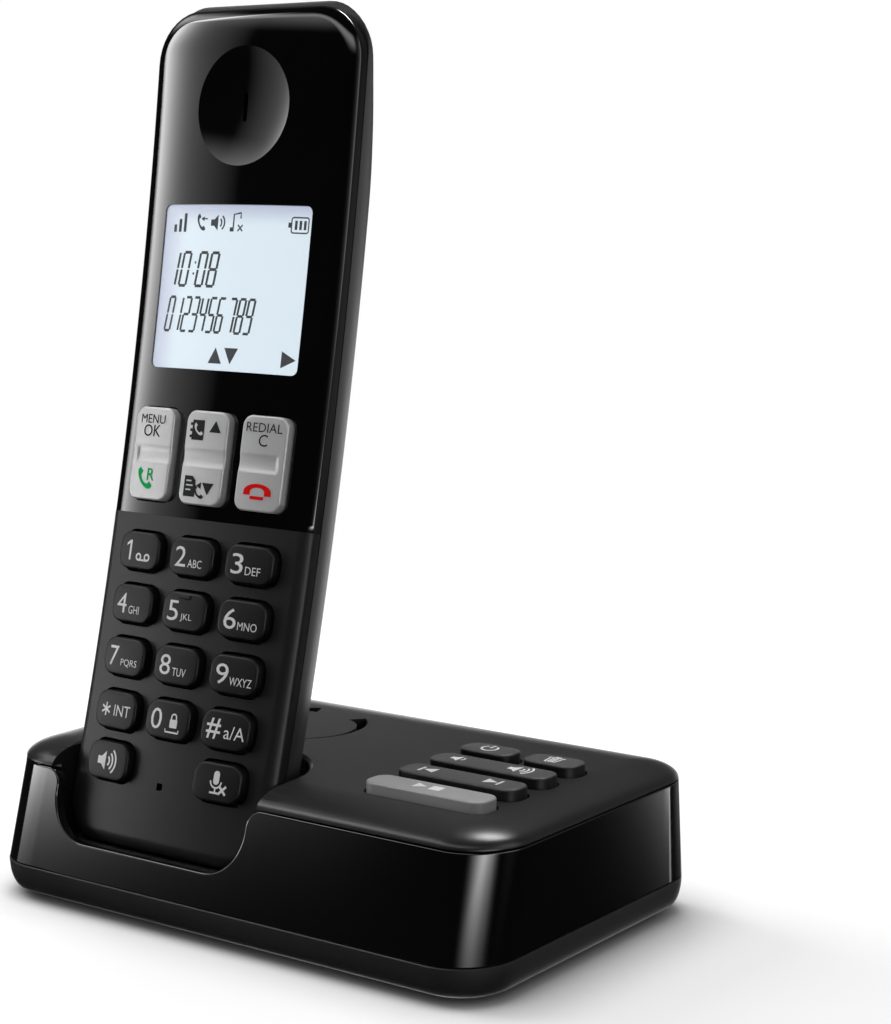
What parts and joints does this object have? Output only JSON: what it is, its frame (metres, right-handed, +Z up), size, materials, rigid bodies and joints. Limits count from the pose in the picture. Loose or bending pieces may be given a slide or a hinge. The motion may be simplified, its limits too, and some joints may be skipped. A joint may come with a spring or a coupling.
{
  "type": "cordless telephone",
  "caption": "Cordless telephone handset with a backlit display and keypad, standing in a charging base with answering-machine keys and a loudspeaker.",
  "frame": {"origin": "on the table under the centre of the base's footprint", "axes": "+Z up, -Y towards the user, +X to the user's right as they face the telephone"},
  "size_m": [0.1108, 0.0694, 0.1618],
  "materials": {
    "plinth": "fine matte",
    "foot_rubber": "matte",
    "band_gloss": "piano gloss",
    "rear_matte": "fine matte",
    "deck_matte": "fine matte",
    "steel": "zinc plated",
    "board": "solder mask",
    "key_rubber": "matte",
    "speaker": "matte",
    "socket": "moulded",
    "play_key_grey": "satin",
    "base_key": "satin",
    "front_matte": "fine matte",
    "fascia_gloss": "piano gloss",
    "display_clear": "clear",
    "display_panel": "backlit",
    "back_satin": "satin",
    "contact_metal": "plated",
    "cell_wrap": "shrink wrap",
    "silver_key": "satin silver",
    "front_key": "satin"
  },
  "bodies": {
    "base": {"base_plinth": "plinth", "base_feet": "foot_rubber", "base_band": "band_gloss", "base_rear_panel": "rear_matte", "base_deck": "deck_matte", "base_screws": "steel", "base_circuit_board": "board", "base_key_mat": "key_rubber", "loudspeaker": "speaker", "line_socket": "socket", "power_socket": "socket"},
    "handset": {"handset_front_cover": "front_matte", "handset_fascia": "fascia_gloss", "display_window": "display_clear", "display_module": "display_panel", "handset_circuit_board": "board", "keypad_mat": "key_rubber", "earpiece": "speaker", "microphone": "speaker", "handset_loudspeaker": "speaker", "handset_back_cover": "back_satin", "handset_screws": "steel", "charge_plates": "contact_metal", "battery_cells": "cell_wrap", "battery_contacts": "steel"},
    "battery_door": {"battery_door": "back_satin"},
    "key_1": {"key_1": "front_key"},
    "key_2": {"key_2": "front_key"},
    "key_3": {"key_3": "front_key"},
    "key_4": {"key_4": "front_key"},
    "key_5": {"key_5": "front_key"},
    "key_6": {"key_6": "front_key"},
    "key_7": {"key_7": "front_key"},
    "key_8": {"key_8": "front_key"},
    "key_9": {"key_9": "front_key"},
    "key_star": {"key_star": "front_key"},
    "key_0": {"key_0": "front_key"},
    "key_hash": {"key_hash": "front_key"},
    "key_speaker": {"key_speaker": "front_key"},
    "key_mute": {"key_mute": "front_key"},
    "menu_talk_key": {"menu_talk_key": "silver_key"},
    "up_down_key": {"up_down_key": "silver_key"},
    "redial_end_key": {"redial_end_key": "silver_key"},
    "charge_contact_left": {"charge_contact_left": "contact_metal"},
    "charge_contact_right": {"charge_contact_right": "contact_metal"},
    "play_stop_key": {"play_stop_key": "play_key_grey"},
    "power_key": {"power_key": "base_key"},
    "delete_key": {"delete_key": "base_key"},
    "skip_key": {"skip_key": "base_key"},
    "volume_key": {"volume_key": "base_key"}
  },
  "joints": [
    {"name": "handset_lift", "type": "slide", "parent": "base", "child": "handset", "axis": [0, 0.2028, 0.9792], "range_m": [0, 0.12]},
    {"name": "battery_door_off", "type": "slide", "parent": "handset", "child": "battery_door", "axis": [0, 0.9763, -0.2166], "range_m": [0, 0.03]},
    {"name": "key_1_press", "type": "slide", "parent": "handset", "child": "key_1", "axis": [0, 0.9749, -0.2227], "range_m": [0, 0.0007], "stiffness_N_per_m": 800, "springref_m": -0.0005},
    {"name": "key_2_press", "type": "slide", "parent": "handset", "child": "key_2", "axis": [0, 0.9749, -0.2227], "range_m": [0, 0.0007], "stiffness_N_per_m": 800, "springref_m": -0.0005},
    {"name": "key_3_press", "type": "slide", "parent": "handset", "child": "key_3", "axis": [0, 0.9749, -0.2227], "range_m": [0, 0.0007], "stiffness_N_per_m": 800, "springref_m": -0.0005},
    {"name": "key_4_press", "type": "slide", "parent": "handset", "child": "key_4", "axis": [0, 0.9723, -0.2336], "range_m": [0, 0.0007], "stiffness_N_per_m": 800, "springref_m": -0.0005},
    {"name": "key_5_press", "type": "slide", "parent": "handset", "child": "key_5", "axis": [0, 0.9723, -0.2336], "range_m": [0, 0.0007], "stiffness_N_per_m": 800, "springref_m": -0.0005},
    {"name": "key_6_press", "type": "slide", "parent": "handset", "child": "key_6", "axis": [0, 0.9723, -0.2336], "range_m": [0, 0.0007], "stiffness_N_per_m": 800, "springref_m": -0.0005},
    {"name": "key_7_press", "type": "slide", "parent": "handset", "child": "key_7", "axis": [0, 0.9697, -0.2444], "range_m": [0, 0.0007], "stiffness_N_per_m": 800, "springref_m": -0.0005},
    {"name": "key_8_press", "type": "slide", "parent": "handset", "child": "key_8", "axis": [0, 0.9697, -0.2444], "range_m": [0, 0.0007], "stiffness_N_per_m": 800, "springref_m": -0.0005},
    {"name": "key_9_press", "type": "slide", "parent": "handset", "child": "key_9", "axis": [0, 0.9697, -0.2444], "range_m": [0, 0.0007], "stiffness_N_per_m": 800, "springref_m": -0.0005},
    {"name": "key_star_press", "type": "slide", "parent": "handset", "child": "key_star", "axis": [0, 0.9669, -0.2551], "range_m": [0, 0.0007], "stiffness_N_per_m": 800, "springref_m": -0.0005},
    {"name": "key_0_press", "type": "slide", "parent": "handset", "child": "key_0", "axis": [0, 0.9669, -0.2551], "range_m": [0, 0.0007], "stiffness_N_per_m": 800, "springref_m": -0.0005},
    {"name": "key_hash_press", "type": "slide", "parent": "handset", "child": "key_hash", "axis": [0, 0.9669, -0.2551], "range_m": [0, 0.0007], "stiffness_N_per_m": 800, "springref_m": -0.0005},
    {"name": "key_speaker_press", "type": "slide", "parent": "handset", "child": "key_speaker", "axis": [0, 0.9642, -0.2653], "range_m": [0, 0.0007], "stiffness_N_per_m": 800, "springref_m": -0.0005},
    {"name": "key_mute_press", "type": "slide", "parent": "handset", "child": "key_mute", "axis": [0, 0.9642, -0.2653], "range_m": [0, 0.0007], "stiffness_N_per_m": 800, "springref_m": -0.0005},
    {"name": "menu_talk_key_rock", "type": "hinge", "parent": "handset", "child": "menu_talk_key", "pos_m": [-0.03085, -0.01104, 0.08033], "axis": [1, 0, 0], "range_deg": [-3, 3], "stiffness_Nm_per_rad": 0.12},
    {"name": "up_down_key_rock", "type": "hinge", "parent": "handset", "child": "up_down_key", "pos_m": [-0.0179, -0.01104, 0.08033], "axis": [1, 0, 0], "range_deg": [-3, 3], "stiffness_Nm_per_rad": 0.12},
    {"name": "redial_end_key_rock", "type": "hinge", "parent": "handset", "child": "redial_end_key", "pos_m": [-0.00495, -0.01104, 0.08033], "axis": [1, 0, 0], "range_deg": [-3, 3], "stiffness_Nm_per_rad": 0.12},
    {"name": "play_stop_key_press", "type": "slide", "parent": "base", "child": "play_stop_key", "axis": [0, 0, -1], "range_m": [0, 0.0008], "stiffness_N_per_m": 800, "springref_m": -0.0005},
    {"name": "power_key_press", "type": "slide", "parent": "base", "child": "power_key", "axis": [0, 0, -1], "range_m": [0, 0.0008], "stiffness_N_per_m": 800, "springref_m": -0.0005},
    {"name": "delete_key_press", "type": "slide", "parent": "base", "child": "delete_key", "axis": [0, 0, -1], "range_m": [0, 0.0008], "stiffness_N_per_m": 800, "springref_m": -0.0005},
    {"name": "skip_key_rock", "type": "hinge", "parent": "base", "child": "skip_key", "pos_m": [0.0334, -0.0077, 0.0268], "axis": [0, 1, 0], "range_deg": [-2.5, 2.5], "stiffness_Nm_per_rad": 0.2},
    {"name": "volume_key_rock", "type": "hinge", "parent": "base", "child": "volume_key", "pos_m": [0.0334, 0.0014, 0.0268], "axis": [0, 1, 0], "range_deg": [-2.5, 2.5], "stiffness_Nm_per_rad": 0.2},
    {"name": "charge_contact_left_give", "type": "slide", "parent": "base", "child": "charge_contact_left", "axis": [0, -0.2028, -0.9792], "range_m": [0, 0.0008], "stiffness_N_per_m": 800, "springref_m": -0.0005},
    {"name": "charge_contact_right_give", "type": "slide", "parent": "base", "child": "charge_contact_right", "axis": [0, -0.2028, -0.9792], "range_m": [0, 0.0008], "stiffness_N_per_m": 800, "springref_m": -0.0005}
  ]
}
